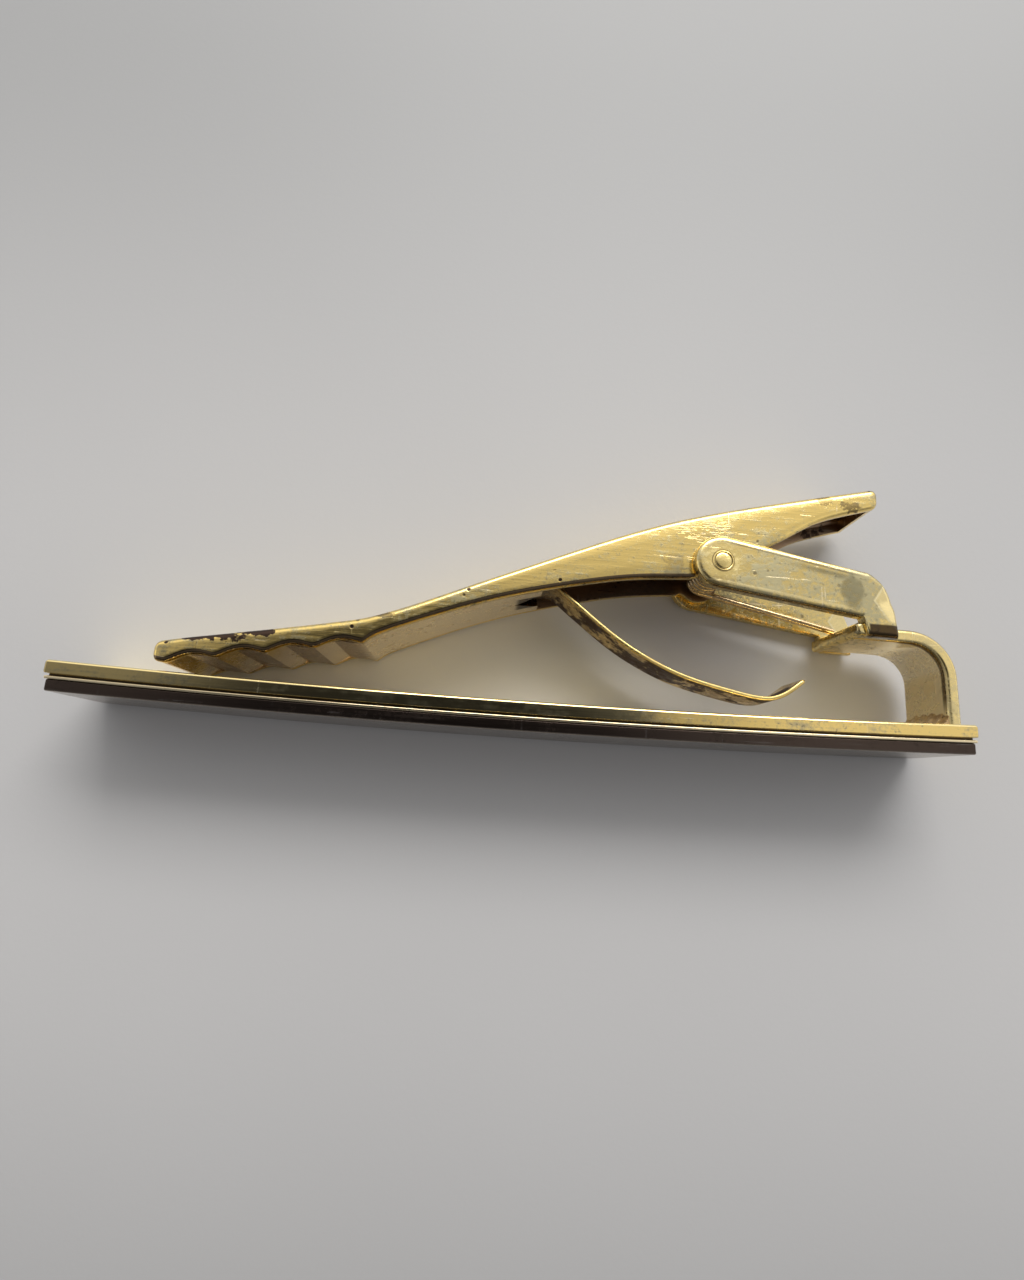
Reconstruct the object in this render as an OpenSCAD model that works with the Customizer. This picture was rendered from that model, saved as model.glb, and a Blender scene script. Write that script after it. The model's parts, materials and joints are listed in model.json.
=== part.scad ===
// Sprung alligator-jaw tie bar, drawn lying on its side: X along the bar, Y from the bar to the jaw, Z its width.

/* [Overall] */
// Length of the bar
bar_l = 60; // [45:0.5:75]
// Height from the crest of the bar's front to the top of the jaw's tail
clip_h = 19.2; // [16:0.1:23]
// Width over the bar and over the two ears
clip_w = 7; // [6:0.1:9]

/* [Bar] */
// Rise of the bar's ends over its middle
bar_bow = 0.5; // [0:0.05:1.2]
// Thickness of the back plate
plate_t = 1.2; // [0.9:0.05:1.6]
// Height of the polished lip on the back plate's front side
lip_t = 0.2; // [0.1:0.02:0.3]
// Height of the groove behind the lip
groove_t = 0.15; // [0.08:0.01:0.25]
// Depth of that groove
groove_d = 0.3; // [0.1:0.02:0.5]
// Thickness of the front panel
panel_t = 0.75; // [0.5:0.05:1.2]
// Step between the plate's edge and the panel's edge, all round
panel_step = 0.2; // [0.05:0.05:0.6]

/* [Bridge] */
// Thickness of the bridge's sheet, in its strap and its ears
sheet_t = 0.95; // [0.7:0.05:1.2]
// Width of the strap
strap_w = 4.6; // [3.4:0.1:5]
// Distance from the bar's end to the strap's outer face
strap_inset = 0.2; // [0:0.1:2]
// Outer radius of the strap's bend
bend_r = 3.2; // [2.2:0.1:3.8]
// Slope of the ears, in degrees
yoke_slope = 8; // [4:0.5:11]
// Slope of the web between them, in degrees
web_slope = 1; // [0:0.5:8]
// Radius of the ears' round ends
ear_r = 1.85; // [1.5:0.05:2.1]
// Radius of the ears' domed heels
heel_r = 4.03; // [3.4:0.05:4.6]
// Length of the heel that folds into the web
heel_l = 2.5; // [1.4:0.1:2.8]
// Length of the web beyond the heel
web_l = 0.4; // [0.2:0.1:2.8]
// Radius of the solder fillet at the foot
foot_r = 1.5; // [0.8:0.1:2]

/* [Pivot] */
// Radius of the rivet's shank
pin_r = 0.55; // [0.4:0.05:0.7]
// Radius of the rivet's heads
head_r = 0.75; // [0.65:0.05:1]
// Depth of the rivet's heads in the ears
head_t = 0.3; // [0.2:0.05:0.4]
// Radial clearance of the jaw on the rivet
pivot_gap = 0.04; // [0.02:0.01:0.1]
// Clearance between each ear and the jaw
side_gap = 0.06; // [0.03:0.01:0.15]

/* [Jaw] */
// Thickness of the jaw's sheet
jaw_t = 0.6; // [0.4:0.05:0.8]
// Thickness of the toothed sole
sole_t = 0.5; // [0.3:0.05:0.7]
// Number of scallops along the sole
tooth_n = 4; // [2:1:6]
// Depth of the scallops
tooth_d = 0.38; // [0.1:0.02:0.6]
// Radius of the jaw's cheeks round the pivot
cheek_r = 1.45; // [1.1:0.05:1.7]

/* [Springs] */
// Radius of the closing spring's wire
wire_r = 0.25; // [0.15:0.01:0.3]
// Mean radius of its coil
coil_r = 0.95; // [0.85:0.01:1.1]
// Number of turns in its coil
turns = 5; // [3:1:6]
// Clearance between the coil's ends and the jaw's walls
coil_gap = 0.52; // [0.2:0.02:0.8]
// Distance of the lower leg's end from the web's free end
leg_reach = 0.7; // [0.5:0.1:2.2]
// Width of the fabric tongue
tongue_w = 3.2; // [2.2:0.1:3.5]
// Thickness of the fabric tongue
tongue_t = 0.3; // [0.2:0.02:0.4]

/* [Hidden] */
e = 0.01;
kx = bar_l / 60;
ky = clip_h / 19.2;
half = bar_l / 2;
mid_z = clip_w / 2;
px = 13.04 * kx;
py = 12.46 * ky;
inner_w = clip_w - 2 * sheet_t;
neck_w = inner_w - 2 * side_gap;
core_t = plate_t - lip_t - groove_t;
bar_t = plate_t + panel_t;
gold = [0.86, 0.7, 0.36];
dark_gold = [0.6, 0.46, 0.22];

function bow_y(x) = bar_bow * pow(x / half, 2);
bow_table = [for (i = [-6 : 6]) [i * half / 6, bow_y(i * half / 6)]];
function bow_at(x) = lookup(x, bow_table);
function back_y(x) = bar_t + bow_at(x);

// A smooth curve through key points, n steps between each pair.
function cr(a, b, c, d, t) = 0.5 * (2 * b + (c - a) * t + (2 * a - 5 * b + 4 * c - d) * t * t
    + (3 * b - a - 3 * c + d) * t * t * t);
function curve(p, n) = let (m = len(p) - 1)
    concat([for (i = [0 : m - 1]) for (j = [0 : n - 1])
        cr(p[max(i - 1, 0)], p[i], p[i + 1], p[min(i + 2, m)], j / n)], [p[m]]);
function scaled(p) = [for (q = p) [q[0] * kx, q[1] * ky]];
function back(p) = [for (i = [len(p) - 1 : -1 : 0]) p[i]];
function drop(p, d) = [for (q = p) [q[0], q[1] - d]];

// The jaw's upper outline, from the nose to the tail, and its lower one back again.
nose_x = -23.6 * kx;
tail_x = 24.8 * kx;
top_line = curve(scaled([[-23.6, 4.05], [-22.2, 4.4], [-13.4, 6.05], [-9.2, 7.15], [-2.1, 10.35],
    [7, 14.4], [13.2, 16.5], [24.3, 19.2]]), 3);
shank_line = curve(scaled([[-10.6, 4.95], [-9, 5.95], [-2, 8.74], [5.9, 10.77], [11.3, 11.4]]), 3);
tail_line = curve(scaled([[14.4, 12.9], [17.4, 14.54], [20.65, 16.46], [24.8, 17.8]]), 3);
tooth_x0 = -22.8 * kx;
tooth_l = 12.2 * kx / tooth_n;
scallops = [for (i = [0 : tooth_n * 6 - 1]) let (u = i / 6)
    [tooth_x0 + u * tooth_l, (2.78 + 2.17 * u / tooth_n) * ky + tooth_d * (1 - cos(360 * u)) / 2]];
low_front = concat([[nose_x, 3 * ky]], scallops, shank_line);

module plan(w_nose, w_neck, x0, x1) {
    translate([0, clip_h * 1.2, mid_z]) rotate([90, 0, 0]) linear_extrude(clip_h * 1.6)
        polygon([[x0, -w_nose / 2], [-9 * kx, -w_nose / 2], [10 * kx, -w_neck / 2], [x1, -w_neck / 2],
            [x1, w_neck / 2], [10 * kx, w_neck / 2], [-9 * kx, w_nose / 2], [x0, w_nose / 2]]);
}

module slab(z0, z1) translate([0, 0, z0]) linear_extrude(z1 - z0) children();
module about_pivot() translate([px, py, 0]) children();

module bowed(y0, y1, inset) {
    h = half - inset;
    xs = concat([-h], [for (i = [-5 : 5]) i * half / 6], [h]);
    slab(inset, clip_w - inset)
        polygon(concat([for (x = xs) [x, y0 + bow_at(x)]], back([for (x = xs) [x, y1 + bow_at(x)]])));
}

module back_plate() color(gold) {
    bowed(panel_t, panel_t + lip_t, panel_step / 2);
    bowed(panel_t + lip_t, bar_t - core_t, groove_d);
    bowed(bar_t - core_t, bar_t, 0);
}

module front_panel() color(dark_gold) bowed(0, panel_t, panel_step);

// The strap's bend: its centre, and the web's line that leaves it at the web's slope.
bx = half - strap_inset - bend_r;
by = 8.9 * ky - bend_r;
web_x1 = bx + bend_r * sin(web_slope);
web_y1 = by + bend_r * cos(web_slope);
heel_x = 21.2 * kx;
heel_y = 9 * ky;
heel_end = heel_x + heel_r - 0.08;
web_end = heel_end - heel_l - web_l;
function web_y(x) = web_y1 + (web_x1 - x) * tan(web_slope);
web_drop = sheet_t / cos(web_slope);

module web_2d(x0, x1) polygon([[x0, web_y(x0) - web_drop], [x1, web_y(x1) - web_drop],
    [x1, web_y(x1)], [x0, web_y(x0)]]);

module strap_2d() {
    x1 = half - strap_inset;
    n = 10;
    a1 = 90 - web_slope;
    outer = [for (i = [0 : n]) [bx + bend_r * cos(a1 * i / n), by + bend_r * sin(a1 * i / n)]];
    inner = [for (i = [n : -1 : 0]) [bx + (bend_r - sheet_t) * cos(a1 * i / n),
        by + (bend_r - sheet_t) * sin(a1 * i / n)]];
    polygon(concat([[x1, back_y(x1)]], outer, [[web_end, web_y(web_end)],
        [web_end, web_y(web_end) - web_drop]], inner, [[x1 - sheet_t, back_y(x1 - sheet_t)]]));
}

module ear_2d() {
    ts = yoke_slope + 2.4;
    top0 = [px + ear_r * sin(ts), py + ear_r * cos(ts)];
    low0 = [px - ear_r * sin(yoke_slope), py - ear_r * cos(yoke_slope)];
    run = heel_end - px;
    about_pivot() circle(r = ear_r, $fn = 96);
    difference() {
        intersection() {
            polygon([[px, py], low0, [low0[0] + run + 1, low0[1] - (run + 1) * tan(yoke_slope)],
                [top0[0] + run, top0[1] - run * tan(ts)], top0]);
            union() {
                translate([heel_x, heel_y]) circle(r = heel_r, $fn = 96);
                translate([px - 3, 0]) square([heel_x - px + 3, clip_h]);
            }
        }
        translate([heel_end, 0]) square([5, clip_h]);
    }
    // The heel's foot reaches down to the web.
    polygon([[heel_end - heel_l, web_y(heel_end - heel_l) - web_drop], [heel_end, web_y(heel_end) - web_drop],
        [heel_end, heel_y + 0.2], [heel_end - heel_l, heel_y + 1.6]]);
}

module bridge_yoke() color(gold) difference() {
    union() {
        slab(mid_z - strap_w / 2, mid_z + strap_w / 2) strap_2d();
        slab(0, clip_w) web_2d(heel_end - heel_l, heel_end);
        slab(0, sheet_t) ear_2d();
        slab(clip_w - sheet_t, clip_w) ear_2d();
    }
    about_pivot() translate([0, 0, -1]) cylinder(r = pin_r, h = clip_w + 2, $fn = 64);
    about_pivot() translate([0, 0, -1]) cylinder(r = head_r, h = 1 + head_t, $fn = 64);
    about_pivot() translate([0, 0, clip_w - head_t]) cylinder(r = head_r, h = 2, $fn = 64);
}

module foot_fillet() color(dark_gold) {
    x1 = half - strap_inset - sheet_t;
    x0 = x1 - foot_r;
    n = 8;
    slab(mid_z - strap_w / 2, mid_z + strap_w / 2)
        polygon(concat([[x1, back_y(x1)], [x1, back_y(x1) + foot_r * 0.8]],
            [for (i = [1 : n - 1]) [x1 - foot_r * (1 - cos(90 * i / n)),
                back_y(x1) + foot_r * 0.8 * (1 - sin(90 * i / n))]], [[x0, back_y(x0)]]));
}

module pivot_rivet() color(gold) about_pivot() {
    cylinder(r = pin_r, h = clip_w, $fn = 64);
    cylinder(r = head_r, h = head_t, $fn = 64);
    translate([0, 0, clip_w - head_t]) cylinder(r = head_r, h = head_t, $fn = 64);
}

module jaw_shell() color(gold) difference() {
    intersection() {
        slab(0, clip_w) {
            polygon(concat(low_front, tail_line, back(top_line)));
            about_pivot() circle(r = cheek_r, $fn = 96);
        }
        plan(clip_w, neck_w, nose_x - 1, tail_x + 1);
    }
    intersection() {
        slab(0, clip_w) polygon(concat([[nose_x + jaw_t, 0], [tail_x - jaw_t, 0],
            [tail_x - jaw_t, clip_h - jaw_t * 1.35]], back(drop([for (q = top_line)
            if (q[0] > nose_x + jaw_t && q[0] < tail_x - jaw_t - 0.3) q], jaw_t * 1.08)),
            [[nose_x + jaw_t, 4.2 * ky - jaw_t]]));
        plan(clip_w - 2 * jaw_t, neck_w - 2 * jaw_t, nose_x + jaw_t, tail_x - jaw_t);
    }
    about_pivot() translate([0, 0, -1]) cylinder(r = pin_r + pivot_gap, h = clip_w + 2, $fn = 64);
}

sole_end = 0.9 * kx;
sole_line = [for (q = low_front) if (q[0] > nose_x + jaw_t && q[0] < sole_end - 0.2) q];
module jaw_sole() color(dark_gold) intersection() {
    x0 = nose_x + jaw_t;
    y0 = 2.95 * ky;
    y1 = 9.75 * ky;
    slab(0, clip_w) polygon(concat([[x0, y0]], sole_line, [[sole_end, y1], [sole_end, y1 + sole_t]],
        back(drop(sole_line, -sole_t)), [[x0, y0 + sole_t]]));
    plan(clip_w - 2 * jaw_t, neck_w - 2 * jaw_t, x0, sole_end);
}

pitch = (neck_w - 2 * (jaw_t + coil_gap + wire_r)) / (turns - 1);
coil_z0 = mid_z - (turns - 1) * pitch / 2;
leg_x = web_end + leg_reach;
leg_a = [leg_x - px, web_y(leg_x) + wire_r + 0.05 - py];
leg_b = [21.4 * kx - px, 17.5 * ky - wire_r - py];
module leg(d, side, z) {
    a = atan2(d[1], d[0]);
    l = norm(d);
    tilt = asin(coil_r / l) * side;
    rotate([0, 0, a + tilt]) translate([0, -side * coil_r, z]) rotate([0, 90, 0]) rotate([0, 0, 22.5])
        cylinder(r = wire_r * 0.98, h = sqrt(l * l - coil_r * coil_r), $fn = 8);
}
module closing_spring() color(gold) about_pivot() {
    for (i = [0 : turns - 1]) translate([0, 0, coil_z0 + i * pitch])
        rotate_extrude($fn = 96) translate([coil_r, 0]) circle(r = wire_r, $fn = 48);
    translate([0, 0, coil_z0]) difference() {
        cylinder(r = coil_r, h = (turns - 1) * pitch, $fn = 96);
        translate([0, 0, -1]) cylinder(r = coil_r - wire_r * 0.8, h = turns * pitch + 2, $fn = 96);
    }
    leg(leg_a, 1, coil_z0);
    leg(leg_b, -1, coil_z0 + (turns - 1) * pitch);
}

// The fabric tongue: a leaf of constant thickness along one curve, hooked over the sole's end.
leaf = curve(scaled([[-0.6, 9.9], [0.5, 10.3], [1.9, 10.28], [3, 9.45], [5.9, 7.2], [8.1, 5.85],
    [10.7, 4.7], [13.6, 3.95], [16.3, 3.5], [17.8, 3.8], [19.4, 4.95]]), 3);
function unit(v) = v / norm(v);
function side_of(p, s) = [for (i = [0 : len(p) - 1])
    let (d = unit(p[min(i + 1, len(p) - 1)] - p[max(i - 1, 0)])) p[i] + s * [-d[1], d[0]]];
module fabric_tongue() color(gold) slab(mid_z - tongue_w / 2, mid_z + tongue_w / 2)
    polygon(concat(side_of(leaf, tongue_t / 2), back(side_of(leaf, -tongue_t / 2))));

translate([0, -clip_h / 2, 0]) {
    back_plate();
    front_panel();
    bridge_yoke();
    foot_fillet();
    pivot_rivet();
    jaw_shell();
    jaw_sole();
    closing_spring();
    fabric_tongue();
}
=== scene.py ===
# %% [markdown]
# # A gold alligator clip on a slim bowed bar
# The clip lies on its side on a pale table. X runs along the bar, Y from the bar to the jaw, and Z across
# the clip's width. The CAD model gives the box, the joints and the names; each piece is built again here in
# mesh code, because a stamped and polished piece needs the round edges that the CAD leaves sharp.

# %% Load the frame
import json
import math
import bpy
import bmesh
import numpy as np
from mathutils import Matrix, Vector


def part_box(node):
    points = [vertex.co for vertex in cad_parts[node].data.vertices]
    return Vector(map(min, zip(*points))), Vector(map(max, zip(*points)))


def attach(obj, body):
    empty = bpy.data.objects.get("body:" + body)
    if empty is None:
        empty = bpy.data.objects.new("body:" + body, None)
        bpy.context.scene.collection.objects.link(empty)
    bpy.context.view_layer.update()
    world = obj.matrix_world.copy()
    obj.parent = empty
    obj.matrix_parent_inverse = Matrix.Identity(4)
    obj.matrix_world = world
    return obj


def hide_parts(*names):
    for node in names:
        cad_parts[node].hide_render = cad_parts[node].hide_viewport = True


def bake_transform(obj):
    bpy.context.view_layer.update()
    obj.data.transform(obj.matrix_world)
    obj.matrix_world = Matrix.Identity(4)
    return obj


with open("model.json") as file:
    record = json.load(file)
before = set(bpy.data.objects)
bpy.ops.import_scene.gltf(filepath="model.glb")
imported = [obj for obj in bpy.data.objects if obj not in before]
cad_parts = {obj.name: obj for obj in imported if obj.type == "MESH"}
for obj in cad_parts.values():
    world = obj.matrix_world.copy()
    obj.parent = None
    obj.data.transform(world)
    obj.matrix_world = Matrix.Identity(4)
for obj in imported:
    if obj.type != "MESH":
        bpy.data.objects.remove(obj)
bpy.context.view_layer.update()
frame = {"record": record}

MM = 0.001
boxes = {}
for name in ("jaw_shell", "jaw_sole", "back_plate", "front_panel", "bridge_yoke", "pivot_rivet"):
    boxes[name] = [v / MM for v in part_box(name)]
    print(name, "in mm", [[round(c, 2) for c in corner] for corner in boxes[name]])
jaw_lo, jaw_hi = boxes["jaw_shell"]
joints = {j["name"]: j for j in frame["record"]["behaviour"]["joints"]}
pivot = Vector(joints["jaw_pivot"]["pos_m"]) / MM
WIDE = boxes["back_plate"][1].z
MID = WIDE / 2
TALL = 19.2
BASE = jaw_hi.y - TALL

# %% [markdown]
# ## Meshes from rings
# A stamped piece can be made as a block with bevels, or as a row of cross-sections joined by quads, which is
# called a loft. The loft wins here: each section can be round where the metal is round, and the quads follow
# the piece, so its reflections run clean. Weighted normals then keep the flats flat beside the round edges.

# %% Curves and sections
def curve(points, steps):
    """A smooth line through the points, a Catmull-Rom spline."""
    p = [np.array(q, float) for q in points]
    last = len(p) - 1
    out = []
    for i in range(last):
        a, b, c, d = p[max(i - 1, 0)], p[i], p[i + 1], p[min(i + 2, last)]
        for k in range(steps):
            t = k / steps
            out.append(0.5 * (2 * b + (c - a) * t + (2 * a - 5 * b + 4 * c - d) * t * t
                              + (3 * b - a - 3 * c + d) * t ** 3))
    return out + [p[last]]


def rounded(a0, a1, b0, b1, r, steps=5):
    """A ring round a rectangle; r is one radius, or one for each corner from (a1, b1) on, anticlockwise."""
    radii = r if isinstance(r, (list, tuple)) else [r] * 4
    ring = []
    for k, (a, b, sa, sb) in enumerate(((a1, b1, -1, -1), (a0, b1, 1, -1), (a0, b0, 1, 1), (a1, b0, -1, 1))):
        rr = min(radii[k], (a1 - a0) * 0.499, (b1 - b0) * 0.499)
        for s in range(steps + 1):
            t = math.radians(90 * (k + s / steps))
            ring.append((a + sa * rr + rr * math.cos(t), b + sb * rr + rr * math.sin(t)))
    return ring


# %% Lofts
class Mesh:
    """Collects the points and faces of one piece, in millimetres."""
    def __init__(self):
        self.points, self.faces = [], []

    def add(self, ring):
        start = len(self.points)
        self.points += [tuple(map(float, p)) for p in ring]
        return list(range(start, len(self.points)))

    def loft(self, rings):
        """Joins rings of equal length with quads, and closes both ends."""
        rows = [self.add(r) for r in rings]
        n = len(rows[0])
        for a, b in zip(rows, rows[1:]):
            for k in range(n):
                m = (k + 1) % n
                self.faces.append((a[k], a[m], b[m], b[k]))
        self.faces += [tuple(reversed(rows[0])), tuple(rows[-1])]

    def piece(self, name, smooth_under=40, flats=True):
        mesh = bpy.data.meshes.new(name)
        mesh.from_pydata([tuple(c * MM for c in p) for p in self.points], [], self.faces)
        bm = bmesh.new()
        bm.from_mesh(mesh)
        bmesh.ops.remove_doubles(bm, verts=bm.verts, dist=1e-7)
        bmesh.ops.dissolve_degenerate(bm, edges=bm.edges, dist=1e-8)
        bmesh.ops.recalc_face_normals(bm, faces=bm.faces)
        for f in bm.faces:
            f.smooth = True
        for e in bm.edges:
            e.smooth = len(e.link_faces) == 2 and e.calc_face_angle(0) < math.radians(smooth_under)
        bm.to_mesh(mesh)
        bm.free()
        obj = bpy.data.objects.new(name, mesh)
        bpy.context.scene.collection.objects.link(obj)
        if flats:
            normals = obj.modifiers.new("flats", "WEIGHTED_NORMAL")
            normals.keep_sharp = True
        print(name, len(mesh.vertices), "points")
        return obj


# %% [markdown]
# ## The bar
# The bar is a back plate and a front panel, drawn as long bowed strips. A strip's ends are rounded by the
# same rule as its edges: the section shrinks over the last fraction of a millimetre along a quarter circle.

# %% Back plate and front panel
HALF = boxes["back_plate"][1].x
BOW = 0.5


def bow(x):
    return BOW * (x / HALF) ** 2


def stations(x0, x1, r, count, steps=5):
    """Places along a strip, each with how far its section has shrunk there."""
    turn = [math.radians(90 * k / steps) for k in range(steps + 1)]
    head = [(x0 + r * (1 - math.sin(t)), r * (1 - math.cos(t))) for t in reversed(turn)]
    body = [(x0 + r + (x1 - x0 - 2 * r) * k / count, 0.0) for k in range(1, count)]
    tail = [(x1 - r * (1 - math.sin(t)), r * (1 - math.cos(t))) for t in turn]
    return head + body + tail


def strip(mesh, inset, y0, y1, radii, end_r):
    """A bowed strip, inset from the bar's edge all round, from height y0 to y1."""
    rings = []
    for x, s in stations(-HALF + inset, HALF - inset, end_r, 60):
        s = min(s, (y1 - y0) * 0.45)
        ring = rounded(y0 + s, y1 - s, inset + s, WIDE - inset - s, radii)
        rings.append([(x, BASE + y + bow(x), z) for y, z in ring])
    mesh.loft(rings)


PANEL_T, LIP_T, GROOVE_T, PLATE_T = 0.75, 0.2, 0.15, 1.2
plate = Mesh()
strip(plate, 0.02, PANEL_T + LIP_T + GROOVE_T, PANEL_T + PLATE_T, [0.2, 0.04, 0.04, 0.2], 0.2)
strip(plate, 0.3, PANEL_T + LIP_T - 0.02, PANEL_T + LIP_T + GROOVE_T + 0.02, 0.02, 0.05)
strip(plate, 0.1, PANEL_T, PANEL_T + LIP_T, 0.07, 0.09)
back_plate = plate.piece("bar_back_plate")
panel = Mesh()
strip(panel, 0.2, 0.0, PANEL_T, 0.1, 0.12)
front_panel = panel.piece("bar_front_panel")

# %% [markdown]
# ## The bridge and its ears
# One strap rises from the bar's end and bends over into a web, and two ears stand up from the web's sides to
# hold the jaw. The strap is a loft along its own line. An ear is nearly flat, so it is a sheet of points
# whose height comes from how far each lies inside the outline: that gives the rolled edge all round, and
# a second term lets the heel swell away from the flat along a line with a point in it.

# %% Strap, web and heel
SHEET, STRAP_W = 0.95, 4.6
WEB_SLOPE, WEB_HIGH, WEB_PAST_HEEL, WEB_ROUND = math.radians(1), 8.9, 0.4, 0.44
BEND_R = 3.2
HEEL_R, HEEL_L = 4.03, 2.5
strap_x = boxes["bridge_yoke"][1].x
bend = np.array([strap_x - BEND_R, BASE + WEB_HIGH - BEND_R])
heel_c = np.array([21.2, BASE + 9.0])
heel_end = heel_c[0] + HEEL_R - 0.08
web_end = heel_end - HEEL_L - WEB_PAST_HEEL
web_start = bend + BEND_R * np.array([math.sin(WEB_SLOPE), math.cos(WEB_SLOPE)])


def web_top(x):
    return web_start[1] + (web_start[0] - x) * math.tan(WEB_SLOPE)


def web_foot(x):
    """The web's underside."""
    return web_top(x) - SHEET / math.cos(WEB_SLOPE)


def end_shrink(left, r):
    """How far a section shrinks at this distance from a strip's end, to round the end off."""
    return r * (1 - math.sqrt(max(0.0, 1 - (1 - min(left, r) / r) ** 2)))


def strap_line():
    """The strap's middle line with its outward normals, from the foot to the web's free end."""
    foot_y = BASE + PANEL_T + PLATE_T + bow(strap_x) - 0.02
    mid_r = BEND_R - SHEET / 2
    out = [((bend[0] + mid_r, foot_y + (bend[1] - foot_y) * k / 8), (1.0, 0.0)) for k in range(8)]
    turn = math.pi / 2 - WEB_SLOPE
    for k in range(19):
        a = turn * k / 18
        n = (math.cos(a), math.sin(a))
        out.append(((bend[0] + mid_r * n[0], bend[1] + mid_r * n[1]), n))
    n = (math.sin(WEB_SLOPE), math.cos(WEB_SLOPE))
    x0, y0 = out[-1][0]
    reach = (x0 - web_end - SHEET * n[0] / 2) / n[1]
    for k in range(1, 25):
        d = reach * (1 - (1 - k / 24) ** 1.6)
        out.append(((x0 - d * n[1], y0 + d * n[0]), n))
    return out


bridge = Mesh()
rings = []
line = strap_line()
for (x, y), n in line:
    s = end_shrink(math.dist((x, y), line[-1][0]), WEB_ROUND)
    ring = rounded(-SHEET / 2 + s, SHEET / 2 - s, MID - STRAP_W / 2 + s, MID + STRAP_W / 2 - s, 0.3)
    rings.append([(x + a * n[0], y + a * n[1], z) for a, z in ring])
bridge.loft(rings)
print("strap sections", len(rings))
heel_rings = []
near_end = [(0.35, 0.2), (0.42, 0.1), (0.55, 0.0)]
for z, s in near_end + [(WIDE - z, s) for z, s in reversed(near_end)]:
    ring = rounded(heel_end - HEEL_L - 0.36 + s, heel_end - 0.12 - s, 0.04 + s, SHEET - 0.04 - s, 0.25)
    heel_rings.append([(x, web_foot(x) + h, z) for x, h in ring])
bridge.loft(heel_rings)

# %% Ear outline
EAR_R, EDGE_R, SET_BACK = 1.85, 0.32, 0.08
SLOPE = math.radians(8)
TOP_SLOPE = SLOPE + math.radians(2.4)
ear_top0 = np.array([pivot.x + EAR_R * math.sin(TOP_SLOPE), pivot.y + EAR_R * math.cos(TOP_SLOPE)])
ear_low0 = np.array([pivot.x - EAR_R * math.sin(SLOPE), pivot.y - EAR_R * math.cos(SLOPE)])
FAR_OFF = 9.0


def arc(r, away):
    return math.sqrt(max(0.0, r ** 2 - away ** 2))


def ear_top(x):
    if x < ear_top0[0]:
        return pivot.y + arc(EAR_R, x - pivot.x)
    y = ear_top0[1] - (x - ear_top0[0]) * math.tan(TOP_SLOPE)
    return min(y, heel_c[1] + arc(HEEL_R, x - heel_c[0])) if x > heel_c[0] else y


def ease(t):
    t = min(1.0, max(0.0, t))
    return t * t * (3 - 2 * t)


def ear_low(x):
    y = pivot.y - arc(EAR_R, x - pivot.x) if x < ear_low0[0] \
        else ear_low0[1] - (x - ear_low0[0]) * math.tan(SLOPE)
    return y + (web_foot(x) - y) * ease((x - (heel_end - HEEL_L)) / 0.34)


def inside(x, y):
    """How far a point lies inside the ear's outline."""
    if x < pivot.x:
        return max(0.0, EAR_R - math.dist((x, y), (pivot.x, pivot.y)))
    lows = (y - ear_low(x)) * (1.0 if x > heel_end - HEEL_L else math.cos(SLOPE))
    tops = ((ear_top0[1] - y) - (x - ear_top0[0]) * math.tan(TOP_SLOPE)) * math.cos(TOP_SLOPE)
    far = HEEL_R - math.dist((x, y), heel_c) if x > heel_c[0] else FAR_OFF
    return max(0.0, min(lows, tops, far, heel_end - x))


# %% Ear faces
CHEVRON_X, CHEVRON_Y, CHEVRON_LEAN = 23.4, 0.85, 0.66
DOME_DEPTH, DOME_L = 0.4, 1.75


def dome(x, y):
    """How far the heel's swelling lies below the flat: it starts along a line that comes to a point."""
    start = CHEVRON_X + CHEVRON_LEAN * abs(y - CHEVRON_Y)
    return DOME_DEPTH * max(0.0, (x - start) / DOME_L) ** 1.2


def ear_outer(x, y):
    return SET_BACK + EDGE_R - arc(EDGE_R, EDGE_R - min(inside(x, y), EDGE_R)) + dome(x, y)


def ear_inner(x, y):
    return SHEET - 0.1 * (1 - min(1.0, inside(x, y) / 0.1)) ** 2


def spread(a, b, count):
    """Places between a and b, close together at both ends, where the edges curve."""
    return [a + (b - a) * (1 - math.cos(math.pi * k / count)) / 2 for k in range(count + 1)]


HEEL_START = 22.6
ear_x = spread(pivot.x - EAR_R + 0.004, pivot.x + 3, 26) + spread(pivot.x + 3, HEEL_START, 16)[1:] \
    + spread(HEEL_START, heel_end - 0.004, 34)[1:]
for side in (0, 1):
    rings = []
    for x in ear_x:
        ys = spread(ear_low(x), ear_top(x), 22)
        ring = [(x, y, ear_outer(x, y)) for y in ys] + [(x, y, ear_inner(x, y)) for y in reversed(ys)]
        rings.append([(x, y, WIDE - z) if side else (x, y, z) for x, y, z in ring])
    bridge.loft(rings)
bridge_yoke = bridge.piece("bridge_with_ears")

# %% [markdown]
# ## The foot's solder and the rivet
# The bridge is soldered to the bar, and the solder draws up into a hollow-faced fillet with an uneven edge.
# The rivet is a turned shape: a profile of radius and height, spun about the hinge's line.

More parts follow.
